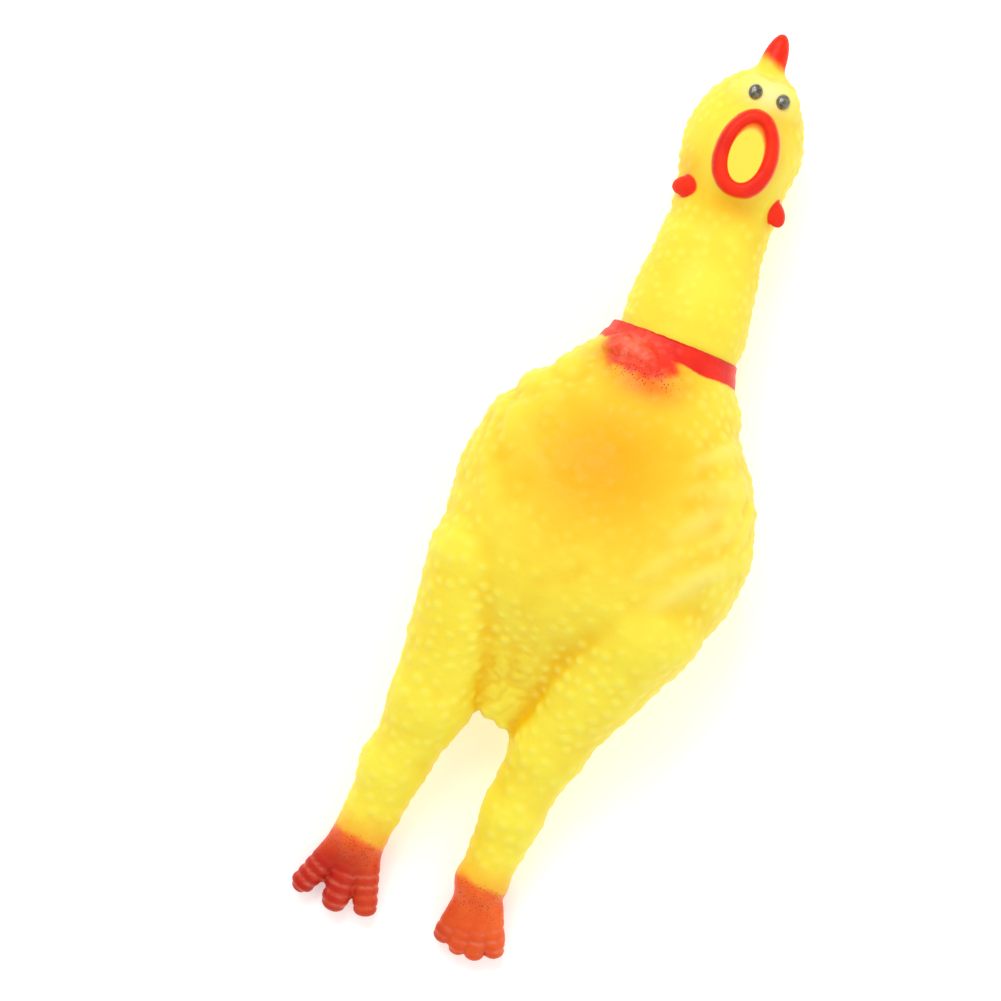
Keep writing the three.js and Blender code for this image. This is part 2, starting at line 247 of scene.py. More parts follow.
def plate(p, a, b, c, thick):
    """A soft three-cornered plate."""
    a, b, c = (np.array(corner, float) for corner in (a, b, c))
    ab, ac, rel = b - a, c - a, p - a
    basis = np.stack([ab, ac], axis=1)
    u, v = np.clip(rel @ np.linalg.pinv(basis).T, 0, 1).T
    over = np.maximum(u + v, 1)
    return np.linalg.norm(rel - (u / over)[:, None] * ab - (v / over)[:, None] * ac, axis=1) - thick


def foot(p, side):
    """The instep and web of a foot, with its creased toes."""
    ankle, outer, inner, thick = webs[side]
    instep = limb(p, ankle, (ankle[0], -67.5, 4.8), 4.4, 3.2)
    shape = melt(plate(p, ankle, outer, inner, thick), instep, 2.5)
    toes, *others = (toe + crease_depth * crease for toe, crease in toe_forms(p, side))
    for toe in others:
        toes = melt(toes, toe, 0.2)
    return melt(shape, toes, 0.4)


def toe_forms(p, side):
    """Each toe of a foot, with how near a point is to one of the creases across it."""
    forms = []
    for number, (root, tip, root_radius, tip_radius) in enumerate(toe_lines[side]):
        run = np.array(tip, float) - np.array(root, float)
        along = (p - np.array(root)) @ run / np.linalg.norm(run) + crease_shift * number
        crease = (0.5 + 0.5 * np.cos(2 * np.pi * along / crease_pitch)) ** 4
        crease = crease * ramp(along, 3.0, 7.0)
        forms.append((limb(p, root, tip, root_radius, tip_radius), crease))
    return forms


# Knuckles of the wings that stand out at the side: middle, radii and turn.
knuckles = (
    ((-14.2, 24.8, 21.0), (2.8, 2.6, 4.5), 20),
    ((-18.2, 19.8, 20.5), (3.4, 3.2, 5.0), 20),
    ((-21.4, 13.8, 20.0), (3.2, 3.4, 5.0), 20),
)
# Feather strokes on the front: place, half width, half length, turn and height.
feather_strokes = (
    (14.2, 20.2, 1.5, 4.6, -47, 0.6),
    (18.0, 15.4, 1.7, 4.2, -42, 0.5),
    (13.2, 13.8, 1.3, 3.4, -50, 0.35),
    (15.4, 8.4, 1.9, 5.6, -45, 0.65),
    (20.0, 7.6, 1.5, 4.0, -38, 0.45),
    (19.4, 0.2, 1.8, 5.0, -46, 0.6),
    (11.6, -0.4, 1.6, 4.4, -36, 0.35),
    (15.4, -5.2, 1.7, 4.6, -46, 0.4),
    (-15.8, 19.4, 1.6, 4.0, 44, 0.4),
    (-19.0, 10.4, 2.2, 5.2, 38, 0.7),
    (-14.6, 8.4, 1.5, 3.6, 42, 0.3),
    (-20.6, 1.4, 1.8, 4.4, 36, 0.45),
)


def stroke_relief(p):
    """How far the feather strokes stand out of the front."""
    rise = 0
    for x, y, half_width, half_length, turn, height in feather_strokes:
        across, along = np.cos(np.radians(turn)), np.sin(np.radians(turn))
        u = ((p[:, 0] - x) * across + (p[:, 1] - y) * along) / half_width
        v = ((p[:, 1] - y) * across - (p[:, 0] - x) * along) / half_length
        rise = rise + height * np.exp(-u * u - v * v)
    return rise * ramp(p[:, 2], 13, 20)


# The bow below the collar: middle, radii and turn of each of its folds.
bow_folds = (
    ((-8.2, 31.4, 23.8), (3.6, 2.2, 2.2), 12),
    ((-4.6, 30.8, 25.8), (3.8, 2.3, 1.8), -8),
    ((-0.8, 29.6, 26.4), (3.4, 2.0, 1.6), -26),
    ((2.2, 28.2, 26.8), (2.6, 1.7, 1.3), -38),
    ((-3.8, 26.6, 27.6), (5.0, 1.8, 1.2), -18),
)


def body_field(p):
    """The body with wings, legs, feet, collar, bow and the neck's seat."""
    shape = loft(p, torso_shape)
    shape = trim(shape, p[:, 1] - 34.2, 1.0)
    tail_hem = -36.6 - 0.31 * (p[:, 0] + 5) + 0.25 * np.sin(2.3 * p[:, 0]) - p[:, 1]
    shape = trim(shape, tail_hem, 0.8)
    for side, sign in (("left", 1), ("right", -1)):
        shape = melt(shape, leg(p, side), 1.5)
        shape = melt(shape, wing(p, sign), 2.2)
    shape = add_eggs(shape, p, knuckles, 2.2)
    shape = shape - stroke_relief(p)
    ring = collar_line(p) - (collar_radius - 0.16 * (p[:, 1] - 32.0))
    ring = trim(ring, np.abs(p[:, 1] - collar_middle[1]) - collar_half, 0.45)
    shape = melt(shape, ring, 0.35)
    shape = add_eggs(shape, p, bow_folds, 1.3)
    seat = trim(collar_line(p) - seat_radius, seat_low - p[:, 1], 0.4)
    shape = carve(shape, seat, 0.3)
    for side in leg_lines:
        shape = melt(shape, foot(p, side), 1.5)
    return trim(shape, -p[:, 2], 0.5)


# ---- Neck and head ----

neck_shape = profile([
    (28, -9.6, 10.9, 3.7, 24.3),
    (33, -9.6, 11.3, 3.7, 24.3),
    (37, -9.6, 11.8, 3.6, 24.3),
    (42, -9.9, 11.7, 3.8, 24.2),
    (46, -9.6, 10.8, 4.2, 23.7),
    (50, -9.1, 10.1, 4.7, 23.1),
    (54, -9.0, 9.3, 5.1, 22.7),
    (57, -8.5, 9.0, 5.3, 22.5),
    (60, -9.0, 9.0, 5.1, 22.7),
    (63, -9.5, 9.0, 4.8, 23.2),
    (66, -10.5, 8.9, 4.5, 23.6),
    (69, -11.2, 9.2, 4.4, 23.7),
    (72, -11.3, 9.4, 4.4, 23.7),
    (75, -11.0, 8.8, 4.7, 23.4),
    (78, -10.2, 7.7, 5.6, 22.5),
    (81, -8.3, 5.9, 7.0, 21.0),
    (84, -5.6, 3.6, 9.2, 18.6),
    (86, -3.5, 1.0, 11.6, 16.2),
    (88, -2.2, -0.4, 13.0, 14.8),
])
mouth_middle = (-0.2, 70.0)
# The lips' middle line: half width, half height and how high it stands.
lip_half = (4.05, 6.35)
lip_front = 25.5
# Middle, radii and turn of the mounds below the eyes, and of the cheeks.
eye_mounds = [((x, 80.0, z), (3.7, 3.6, 2.6), 0) for x, z in ((-2.7, 20.2), (2.0, 19.8))]
cheeks = ((-0.4, 69.5, 18.0), (8.0, 9.4, 7.0), 0)
# The comb's axis, x and z.
comb_axis = (-1.5, 14.4)


def mouth_plan(p):
    """Across and up from the middle of the mouth, which leans to the right."""
    up = p[:, 1] - mouth_middle[1]
    across = p[:, 0] - mouth_middle[0] + 0.03 * up
    return across * (1 + 0.012 * up), up


def lip_gap(p, more=0.0):
    """How far outside the lips' middle line a point is, seen from the front."""
    across, up = mouth_plan(p)
    return oval_column(across, up, lip_half[0] + more, lip_half[1] + more)


def wattles(p):
    """The two red wattles beside the throat."""
    right = egg(local(p, (-7.5, 61.5, 18.9), z=20, y=-30), (3.0, 1.8, 1.2))
    left = egg(local(p, (8.2, 62.7, 18.2), z=40, y=24), (1.75, 2.6, 1.2))
    return right, left


def head_field(p):
    """The hollow neck and head with all that stands out of it, and the mouth."""
    skull = loft(p, neck_shape)
    shape = trim(skull, p[:, 1] - 86.6, 1.2)
    shape = add_eggs(shape, p, eye_mounds, 1.8)
    shape = add_eggs(shape, p, [cheeks], 2.0)
    muzzle = trim(lip_gap(p, 0.9), p[:, 2] - 25.4, 1.0)
    shape = melt(shape, trim(muzzle, 18.0 - p[:, 2], 1.0), 3.0)
    across, up = mouth_plan(p)
    lips = np.hypot(lip_gap(p) / (1.32 - 0.015 * up), (p[:, 2] - lip_front) / 1.05) - 1
    shape = melt(shape, lips * 1.1, 0.3)
    comb = egg(p - np.array((comb_axis[0], 85.6, comb_axis[1])), (2.35, 6.7, 2.1))
    shape = melt(shape, comb, 0.9)
    for wattle in wattles(p):
        shape = melt(shape, wattle, 0.35)
    wall = 1.7
    inside = trim(skull + wall, p[:, 1] - 84.0, 1.0)
    shape = carve(shape, inside, 0.4)
    deep = ramp(p[:, 2], 26.0, 22.0)
    half_wide = lip_half[0] - 1.15 - 0.1 * deep
    half_tall = lip_half[1] - 1.1 - 0.6 * deep
    gape = oval_column(across, up + 0.5 * deep, half_wide, half_tall)
    gape = trim(gape, 14.0 - p[:, 2], 1.0)
    shape = carve(shape, gape, 0.5)
    return trim(shape, 30.4 - p[:, 1], 0.4)


# ---- From a field to a mesh ----


def skin_mesh(field, low, high, pitch):
    """An even mesh of quads on a field's surface, with each vertex's layer along Y."""
    axes = [np.arange(a, b + pitch, pitch) for a, b in zip(low, high)]
    plane_y, plane_z = (grid.ravel() for grid in np.meshgrid(axes[1], axes[2], indexing="ij"))
    value = np.empty([len(axis) for axis in axes])
    for i, x in enumerate(axes[0]):
        points = np.stack([np.full_like(plane_y, x), plane_y, plane_z], axis=1)
        value[i] = field(points).reshape(value.shape[1:])
    inside = value < 0
    count = np.zeros([n - 1 for n in value.shape], np.int8)
    nx, ny, nz = count.shape
    for i, j, k in np.ndindex(2, 2, 2):
        count += inside[i:i + nx, j:j + ny, k:k + nz]
    active = (count > 0) & (count < 8)
    cells = np.argwhere(active)
    number = np.full(count.shape, -1)
    number[active] = np.arange(len(cells))
    total, crossings = np.zeros((len(cells), 3)), np.zeros(len(cells))
    for axis in range(3):
        for corner in np.ndindex(2, 2):
            offset = np.insert(np.array(corner), axis, 0)
            near = cells + offset
            further = near + np.eye(3, dtype=int)[axis]
            a, b = value[tuple(near.T)], value[tuple(further.T)]
            cross = (a < 0) != (b < 0)
            share = np.where(cross, a / np.where(cross, a - b, 1), 0)
            total += np.where(cross[:, None], offset + share[:, None] * np.eye(3)[axis], 0)
            crossings += cross
    points = np.array(low) + (cells + total / crossings[:, None]) * pitch
    quads = []
    for axis in range(3):
        u, w = (axis + 1) % 3, (axis + 2) % 3
        a, b = np.delete(inside, -1, axis), np.delete(inside, 0, axis)
        edges = np.argwhere(a != b)
        edges = edges[(edges[:, u] > 0) & (edges[:, w] > 0)]
        edges = edges[(edges[:, u] < value.shape[u] - 1) & (edges[:, w] < value.shape[w] - 1)]
        around = []
        for back_u, back_w in ((1, 1), (0, 1), (0, 0), (1, 0)):
            cell = edges.copy()
            cell[:, u] -= back_u
            cell[:, w] -= back_w
            around.append(number[tuple(cell.T)])
        around = np.stack(around, axis=1)
        outward = a[tuple(edges.T)]
        quads.append(np.where(outward[:, None], around, around[:, ::-1]))
    return points, np.concatenate(quads), cells[:, 1]


def neighbour_mean(points, quads):
    """The mean of each vertex's neighbours along the edges."""
    a = np.concatenate([quads[:, i] for i in range(4)])
    b = np.concatenate([quads[:, (i + 1) % 4] for i in range(4)])
    ends, others = np.concatenate([a, b]), np.concatenate([b, a])
    count = np.bincount(ends, minlength=len(points))
    totals = [np.bincount(ends, points[others, i], len(points)) for i in range(points.shape[1])]
    return np.stack(totals, axis=1) / np.maximum(count, 1)[:, None]


def even_out(points, quads, field, rounds, reach):
    """Spreads the vertices evenly and puts them back on the surface."""
    probe = 0.04
    steps = np.eye(3) * probe
    for _ in range(rounds):
        points = points + 0.6 * (neighbour_mean(points, quads) - points)
        rises = [(field(points + step) - field(points - step)) / (2 * probe) for step in steps]
        slope = np.stack(rises, axis=1)
        move = field(points) / np.maximum((slope**2).sum(axis=1), 0.2)
        points = points - slope * np.clip(move, -reach, reach)[:, None]
    return points


def vertex_normals(points, faces):
    """Each vertex's normal, from the quads around it by their area."""
    normal = np.zeros_like(points)
    a, b, c, d = (points[faces[:, i]] for i in range(4))
    cross = np.cross(c - a, d - b)
    for i in range(4):
        for axis in range(3):
            normal[:, axis] += np.bincount(faces[:, i], cross[:, axis], len(points))
    return normal / np.maximum(np.linalg.norm(normal, axis=1), 1e-12)[:, None]


def set_numbers(mesh, name, values):
    attribute = mesh.attributes.get(name) or mesh.attributes.new(name, "FLOAT", "POINT")
    attribute.data.foreach_set("value", np.asarray(values, np.float32))


def get_numbers(mesh, name):
    values = np.zeros(len(mesh.vertices), np.float32)
    mesh.attributes[name].data.foreach_get("value", values)
    return values


# ---- Node trees ----

NUMBER = "NodeSocketFloat"
COLOR = "NodeSocketColor"
GEOMETRY = "NodeSocketGeometry"


def put(tree, kind, sockets=None, **settings):
    """Adds a node, sets its fields, and sets or links its inputs."""
    node = tree.nodes.new(kind)
    for name, value in settings.items():
        setattr(node, name, value)
    for name, value in (sockets or {}).items():
        if isinstance(value, bpy.types.NodeSocket):
            tree.links.new(value, node.inputs[name])
        else:
            node.inputs[name].default_value = value
    return node


def new_group(name, kind, takes, gives):
    """A node group with its named inputs (label, socket type, value) and outputs."""
    tree = bpy.data.node_groups.new(name, kind)
    for label, socket, value in takes:
        made = tree.interface.new_socket(label, in_out="INPUT", socket_type=socket)
        if value is not None:
            made.default_value = value
    for label, socket in gives:
        tree.interface.new_socket(label, in_out="OUTPUT", socket_type=socket)
    return tree, tree.nodes.new("NodeGroupInput"), tree.nodes.new("NodeGroupOutput")


def sums(tree, operation, *values):
    """The outcome of one arithmetic node."""
    return put(tree, "ShaderNodeMath", dict(enumerate(values)), operation=operation).outputs[0]


def times(tree, first, *others):
    """The product of some values."""
    for other in others:
        first = sums(tree, "MULTIPLY", first, other)
    return first


def eased(tree, value, low, high, to_low=0.0, to_high=1.0):
    """A value eased from one range into another."""
    sockets = {"Value": value, "From Min": low, "From Max": high, "To Min": to_low, "To Max": to_high}
    return put(tree, "ShaderNodeMapRange", sockets, interpolation_type="SMOOTHSTEP").outputs["Result"]


# The smallest and largest share of the given size that a pimple can have.
pimple_sizes = (0.72, 1.15)


def pimple_tree():
    """Soft pimples scattered over an uneven and in places wrinkled skin."""
    tree, given, result = new_group("plucked_skin", "GeometryNodeTree", [
        ("Skin", GEOMETRY, None),
        ("Spacing", NUMBER, 2.5 * MM),
        ("Pimple Radius", NUMBER, 1.2 * MM),
        ("Pimple Height", NUMBER, 0.5 * MM),
        ("Lump Size", NUMBER, 7 * MM),
        ("Lump Height", NUMBER, 0.5 * MM),
        ("Wrinkle Size", NUMBER, 3 * MM),
        ("Wrinkle Height", NUMBER, 0.8 * MM),
        ("Seed", "NodeSocketInt", 4),
        ("Vinyl", "NodeSocketMaterial", None),
    ], [("Skin", GEOMETRY)])
    take = given.outputs
    bumpy, wrinkled, lumpy = (
        put(tree, "GeometryNodeInputNamedAttribute", {"Name": name}).outputs[0]
        for name in ("bumpy", "wrinkled", "lumpy")
    )
    scatter = put(tree, "GeometryNodeDistributePointsOnFaces", {
        "Mesh": take["Skin"],
        "Distance Min": take["Spacing"],
        "Density Max": 1.0e6,
        "Density Factor": bumpy,
        "Seed": take["Seed"],
    }, distribute_method="POISSON")
    size = put(tree, "FunctionNodeRandomValue", {"Seed": take["Seed"]})
    limits = [socket for socket in size.inputs if socket.name in ("Min", "Max") and socket.type == "VALUE"]
    for socket, limit in zip(limits, pimple_sizes):
        socket.default_value = limit
    nearest = put(tree, "GeometryNodeSampleNearest", {"Geometry": scatter.outputs["Points"]}, domain="POINT")
    own_size = put(tree, "GeometryNodeSampleIndex", {
        "Geometry": scatter.outputs["Points"],
        "Value": [s for s in size.outputs if s.type == "VALUE"][0],
        "Index": nearest.outputs[0],
    }, domain="POINT").outputs[0]
    gap = put(tree, "GeometryNodeProximity", {0: scatter.outputs["Points"]}, target_element="POINTS")
    reach = times(tree, take["Pimple Radius"], own_size)
    share = sums(tree, "DIVIDE", gap.outputs["Distance"], reach)
    pimple = times(tree, eased(tree, share, 1.0, 0.05), bumpy)
    height = times(tree, pimple, own_size, take["Pimple Height"])
    place = tree.nodes.new("GeometryNodeInputPosition").outputs[0]

    def scaled(vector, factor):
        """A vector scaled by a number from the tree."""
        node = put(tree, "ShaderNodeVectorMath", {0: vector}, operation="SCALE")
        tree.links.new(factor, node.inputs["Scale"])
        return node.outputs[0]

    def swell(size):
        """Noise of about this size, from minus a half to a half."""
        at = scaled(place, sums(tree, "DIVIDE", 1.0, size))
        cloud = put(tree, "ShaderNodeTexNoise", {"Vector": at, "Scale": 1.0, "Detail": 1.0})
        return sums(tree, "SUBTRACT", cloud.outputs[0], 0.5)

    lump = times(tree, swell(take["Lump Size"]), take["Lump Height"], lumpy)
    crease = sums(tree, "ABSOLUTE", swell(take["Wrinkle Size"]))
    crease = times(tree, eased(tree, crease, 0.0, 0.12, -1.0, 0.0), wrinkled, take["Wrinkle Height"])
    rise = sums(tree, "ADD", sums(tree, "ADD", height, lump), crease)
    push = scaled(tree.nodes.new("GeometryNodeInputNormal").outputs[0], rise)
    marked = put(tree, "GeometryNodeStoreNamedAttribute", {
        "Geometry": take["Skin"], "Name": "pimple", "Value": pimple,
    }, domain="POINT")
    moved = put(tree, "GeometryNodeSetPosition", {"Geometry": marked.outputs[0], "Offset": push})
    real = put(tree, "GeometryNodeRealizeInstances", {"Geometry": moved.outputs[0]})
    coated = put(tree, "GeometryNodeSetMaterial", {"Geometry": real.outputs[0], "Material": take["Vinyl"]})
    tree.links.new(coated.outputs[0], result.inputs[0])
    return tree


def apply_tree(obj, tree, **values):
    """Runs a tree on an object and keeps the result as its plain mesh."""
    modifier = obj.modifiers.new(tree.name, "NODES")
    modifier.node_group = tree
    for item in tree.interface.items_tree:
        key = item.name.replace(" ", "_").lower()
        if item.item_type == "SOCKET" and item.in_out == "INPUT" and key in values:
            modifier[item.identifier] = values[key]
    seen = obj.evaluated_get(bpy.context.evaluated_depsgraph_get())
    mesh = bpy.data.meshes.new_from_object(seen)
    obj.modifiers.remove(modifier)
    obj.data = mesh
    return mesh


# ---- Materials ----


def hexed(code):
    """A hexadecimal color as linear red, green, blue and alpha."""
    parts = [int(code[i:i + 2], 16) / 255 for i in (0, 2, 4)]
    return [c / 12.92 if c <= 0.04045 else ((c + 0.055) / 1.055) ** 2.4 for c in parts] + [1.0]


def mixed(tree, share, a, b):
    """Color a with this share of color b mixed in; either can be a hexadecimal code."""
    node = put(tree, "ShaderNodeMix", data_type="RGBA", blend_type="MIX")
    for socket, value in zip((0, 6, 7), (share, a, b)):
        value = hexed(value) if isinstance(value, str) else value
        if isinstance(value, bpy.types.NodeSocket):
            tree.links.new(value, node.inputs[socket])
        else:
            node.inputs[socket].default_value = value
    return node.outputs[2]


def place_on_object(tree):
    return tree.nodes.new("ShaderNodeTexCoord").outputs["Object"]


def noise_at(tree, per_metre, detail=2.0, rough=0.5):
    """Noise that repeats about so many times in a metre."""
    sockets = {"Vector": place_on_object(tree), "Scale": per_metre, "Detail": detail, "Roughness": rough}
    return put(tree, "ShaderNodeTexNoise", sockets).outputs[0]


def painted_relief_light_group():
    """Vinyl with painted shade, a deeper glow in its valleys, and a painted highlight, paler on its high
    spots.
    """
    tree, given, result = new_group("soft_vinyl_tone", "ShaderNodeTree", [
        ("Relief", NUMBER, 0.0),
        ("Pimple", NUMBER, 0.0),
        ("High", COLOR, hexed("FDEC48")),
        ("Low", COLOR, hexed("F6C410")),
    ], [("Color", COLOR)])
    take = given.outputs
    cloud = times(tree, sums(tree, "SUBTRACT", noise_at(tree, 95, 3.0), 0.5), 0.9)
    # Painted shade and highlight: low relief takes the deeper Low colour, high relief the paler High.
    level = sums(tree, "ADD", eased(tree, take["Relief"], -0.55, 0.3), cloud)
    tone = mixed(tree, level, take["Low"], take["High"])
    # Painted highlight: pimple tops are mixed towards a pale yellow.
    pale = times(tree, eased(tree, take["Pimple"], 0.1, 1.0), 0.13)
    tone = mixed(tree, pale, tone, "FFF6A0")
    tree.links.new(tone, result.inputs["Color"])
    return tree


droplets_per_metre = 2300.0


def sprayed_paint_group():
    """The edge of sprayed paint: Reach is how far inside the mask a point is, in millimetres."""
    tree, given, result = new_group("sprayed_paint_edge", "ShaderNodeTree", [
        ("Reach", NUMBER, 0.0),
        ("Softness", NUMBER, 0.3),
        ("Waver", NUMBER, 0.6),
        ("Speckle", NUMBER, 0.0),
    ], [("Paint", NUMBER), ("Droplets", NUMBER)])
    take = given.outputs
    waver = times(tree, sums(tree, "SUBTRACT", noise_at(tree, 420, 3.0, 0.6), 0.5), take["Waver"])
    reach = sums(tree, "ADD", take["Reach"], waver)
    low = times(tree, take["Softness"], -1.0)
    paint = eased(tree, reach, low, take["Softness"])
    sockets = {"Vector": place_on_object(tree), "Scale": droplets_per_metre, "Randomness": 1.0}
    cells = put(tree, "ShaderNodeTexVoronoi", sockets)
    drop = eased(tree, cells.outputs["Distance"], 0.36, 0.22)
    few = eased(tree, noise_at(tree, 1300, 1.0), 0.44, 0.56)
    drops = times(tree, drop, few, take["Speckle"])
    tree.links.new(paint, result.inputs["Paint"])
    tree.links.new(drops, result.inputs["Droplets"])
    return tree


def moulded_grain_group():
    """The fine grain and handling marks of a moulded surface."""
    tree, given, result = new_group("moulded_grain", "ShaderNodeTree", [
        ("Roughness", NUMBER, 0.3),
        ("Grain", NUMBER, 1.0),
    ], [("Height", NUMBER), ("Roughness", NUMBER), ("Dust", NUMBER)])
    take = given.outputs
    fine = times(tree, noise_at(tree, 2600, 2.0), 0.35)
    soft = noise_at(tree, 700, 2.0)
    height = times(tree, sums(tree, "ADD", fine, soft), take["Grain"])
    rubbed = times(tree, sums(tree, "SUBTRACT", noise_at(tree, 260, 4.0, 0.65), 0.5), 0.35)
    tree.links.new(height, result.inputs["Height"])
    tree.links.new(sums(tree, "ADD", take["Roughness"], rubbed), result.inputs["Roughness"])
    tree.links.new(eased(tree, noise_at(tree, 1800, 3.0, 0.7), 0.66, 0.74), result.inputs["Dust"])
    return tree


vinyl_painted_light = painted_relief_light_group()
paint_edge = sprayed_paint_group()
grain = moulded_grain_group()


def use(tree, group, **sockets):
    """Adds a shared group, sets or links its inputs, and gives its outputs."""
    node = put(tree, "ShaderNodeGroup", node_tree=group)
    for name, value in sockets.items():
        name = name.replace("_", " ")
        if isinstance(value, bpy.types.NodeSocket):
            tree.links.new(value, node.inputs[name])
        else:
            node.inputs[name].default_value = value
    return node.outputs


def new_material(name, **settings):
    """A node material with uniform values set on its shader."""
    material = bpy.data.materials.new(name)
    material.use_nodes = True
    tree = material.node_tree
    shader = tree.nodes["Principled BSDF"]
    for label, value in settings.items():
        shader.inputs[label.replace("_", " ")].default_value = value
    return material, tree, shader


def attribute(tree, name):
    return put(tree, "ShaderNodeAttribute", attribute_name=name).outputs["Fac"]


def finish_surface(tree, shader, color, roughness, height, depth):
    """Links color and roughness, and the normal by a bump of this depth in metres."""
    tree.links.new(color, shader.inputs["Base Color"])
    tree.links.new(roughness, shader.inputs["Roughness"])
    bump = put(tree, "ShaderNodeBump", {"Height": height, "Distance": depth, "Strength": 1.0})
    tree.links.new(bump.outputs[0], shader.inputs["Normal"])


# Painted glow: emission strength that stands in for light coming through the thin vinyl into the mouth.
painted_mouth_glow = 0.5


def skin_material(name, softness, waver, red_light, red_deep):
    """Yellow vinyl with sprayed red, by the attributes that the skins carry."""
    material, tree, shader = new_material(
        name, IOR=1.4, Specular_IOR_Level=0.24, Coat_Weight=0.07, Coat_Roughness=0.3,
        Emission_Strength=painted_mouth_glow,
    )
    # The base colour carries painted shade in the valleys and painted highlights on high spots and pimples.
    tone = use(tree, vinyl_painted_light, Relief=attribute(tree, "relief"), Pimple=attribute(tree, "pimple"))
    color = tone["Color"]
    # Mixed in: pale is a painted highlight on the feather strokes and a paler face; inside is the paler
    # painted glow of the mouth; deep is painted shade on the chest and under the jaw, and a deeper orange
    # low on the shanks.
    for mark, tint in (("pale", "FFF4A6"), ("inside", "DFCE70"), ("deep", "FFAE04"), ("blush", "F8641E")):
        color = mixed(tree, attribute(tree, mark), color, tint)
    paint = use(
        tree, paint_edge,
        Reach=attribute(tree, "reach"), Softness=softness, Waver=waver, Speckle=attribute(tree, "speckle"),
    )
    mottle = eased(tree, noise_at(tree, 240, 3.0, 0.6), 0.3, 0.72)
    red = mixed(tree, mottle, red_light, red_deep)
    # dark_red is a painted shadow along the collar's rim, and deeper red paint on the feet and on the lips'
    # right side.
    red = mixed(tree, attribute(tree, "dark_red"), red, "BA0C0C")
    worn = eased(tree, noise_at(tree, 520, 3.0, 0.65), 0.36, 0.66)
    thin_paint = mixed(tree, worn, "F69070", "F25A2C")
    red = mixed(tree, attribute(tree, "crease"), red, thin_paint)
    skin = use(tree, grain, Roughness=0.42, Grain=1.0)
    color = mixed(tree, times(tree, skin["Dust"], 0.12), color, "FFF8D0")
    color = mixed(tree, paint["Paint"], color, red)
    color = mixed(tree, paint["Droplets"], color, "A41808")
    finish_surface(tree, shader, color, skin["Roughness"], skin["Height"], 0.12 * MM)
    # Painted glow: emission where the inside mark is.
    glow = mixed(tree, attribute(tree, "inside"), (0, 0, 0, 1), "F0DE6C")
    tree.links.new(glow, shader.inputs["Emission Color"])
    return material


body_vinyl = skin_material("body_vinyl_sprayed_collar", 0.22, 0.6, "F5301C", "E8241A")
head_vinyl = skin_material("head_vinyl_sprayed_lips", 0.16, 0.25, "F8320F", "EE2410")
leg_vinyl = skin_material("leg_vinyl_sprayed_feet", 0.9, 1.6, "FA6E28", "F05A20")


def plastic_material(name, light, shade, roughness):
    material, tree, shader = new_material(name, IOR=1.5)
    skin = use(tree, grain, Roughness=roughness, Grain=0.6)
    tone = mixed(tree, eased(tree, noise_at(tree, 160, 2.0), 0.3, 0.7), light, shade)
    tone = mixed(tree, times(tree, skin["Dust"], 0.3), tone, "B9B4A4")
    finish_surface(tree, shader, tone, skin["Roughness"], skin["Height"], 0.06 * MM)
    return material


def brass_material():
    material, tree, shader = new_material("rolled_brass_reed", Metallic=1.0)
    rolled = {"Vector": place_on_object(tree), "Scale": (9000, 500, 9000)}
    along = put(tree, "ShaderNodeMapping", rolled).outputs[0]
    lines = put(tree, "ShaderNodeTexNoise", {"Vector": along, "Scale": 1.0, "Detail": 2.0}).outputs[0]
    skin = use(tree, grain, Roughness=0.24, Grain=0.4)
    tone = mixed(tree, eased(tree, noise_at(tree, 500, 3.0), 0.35, 0.7), "D9B35C", "A67C34")
    finish_surface(tree, shader, tone, skin["Roughness"], lines, 0.02 * MM)
    return material


def eye_material():
    material, tree, shader = new_material("eye_gloss_paint", IOR=1.5, Coat_Weight=1.0, Coat_Roughness=0.04)
    skin = use(tree, grain, Roughness=0.2, Grain=0.5)
    tone = mixed(tree, eased(tree, noise_at(tree, 1500, 2.0), 0.35, 0.65), "3A382C", "77725A")
    finish_surface(tree, shader, tone, skin["Roughness"], skin["Height"], 0.08 * MM)
    return material


white_plastic = plastic_material("squeaker_white_plastic", "F1EFE8", "E2DED2", 0.36)
cap_plastic = plastic_material("squeaker_cap_plastic", "E9E6DC", "D8D3C4", 0.42)
reed_brass = brass_material()
eye_paint = eye_material()


# ---- Marks on the skins: where there are pimples, wrinkles, paint, and painted shade, highlight and glow ----

# Reach far outside the paint, for places that the spray can't get to.
unpainted = -9
# Where the sprayed paint ends at the collar and at the feet.
collar_paint_low = 32.15
foot_paint_top = -64.2


def toe_creases(p):
    """One in the creases across the toes, falling to nothing beside them."""
    crease = np.zeros(len(p))
    for side in toe_lines:
        gaps, marks = zip(*toe_forms(p, side))
        on_toe = ramp(-np.min(gaps, axis=0), -0.7, -0.3)
        crease = np.maximum(crease, on_toe * np.choose(np.argmin(gaps, axis=0), marks))
    return crease


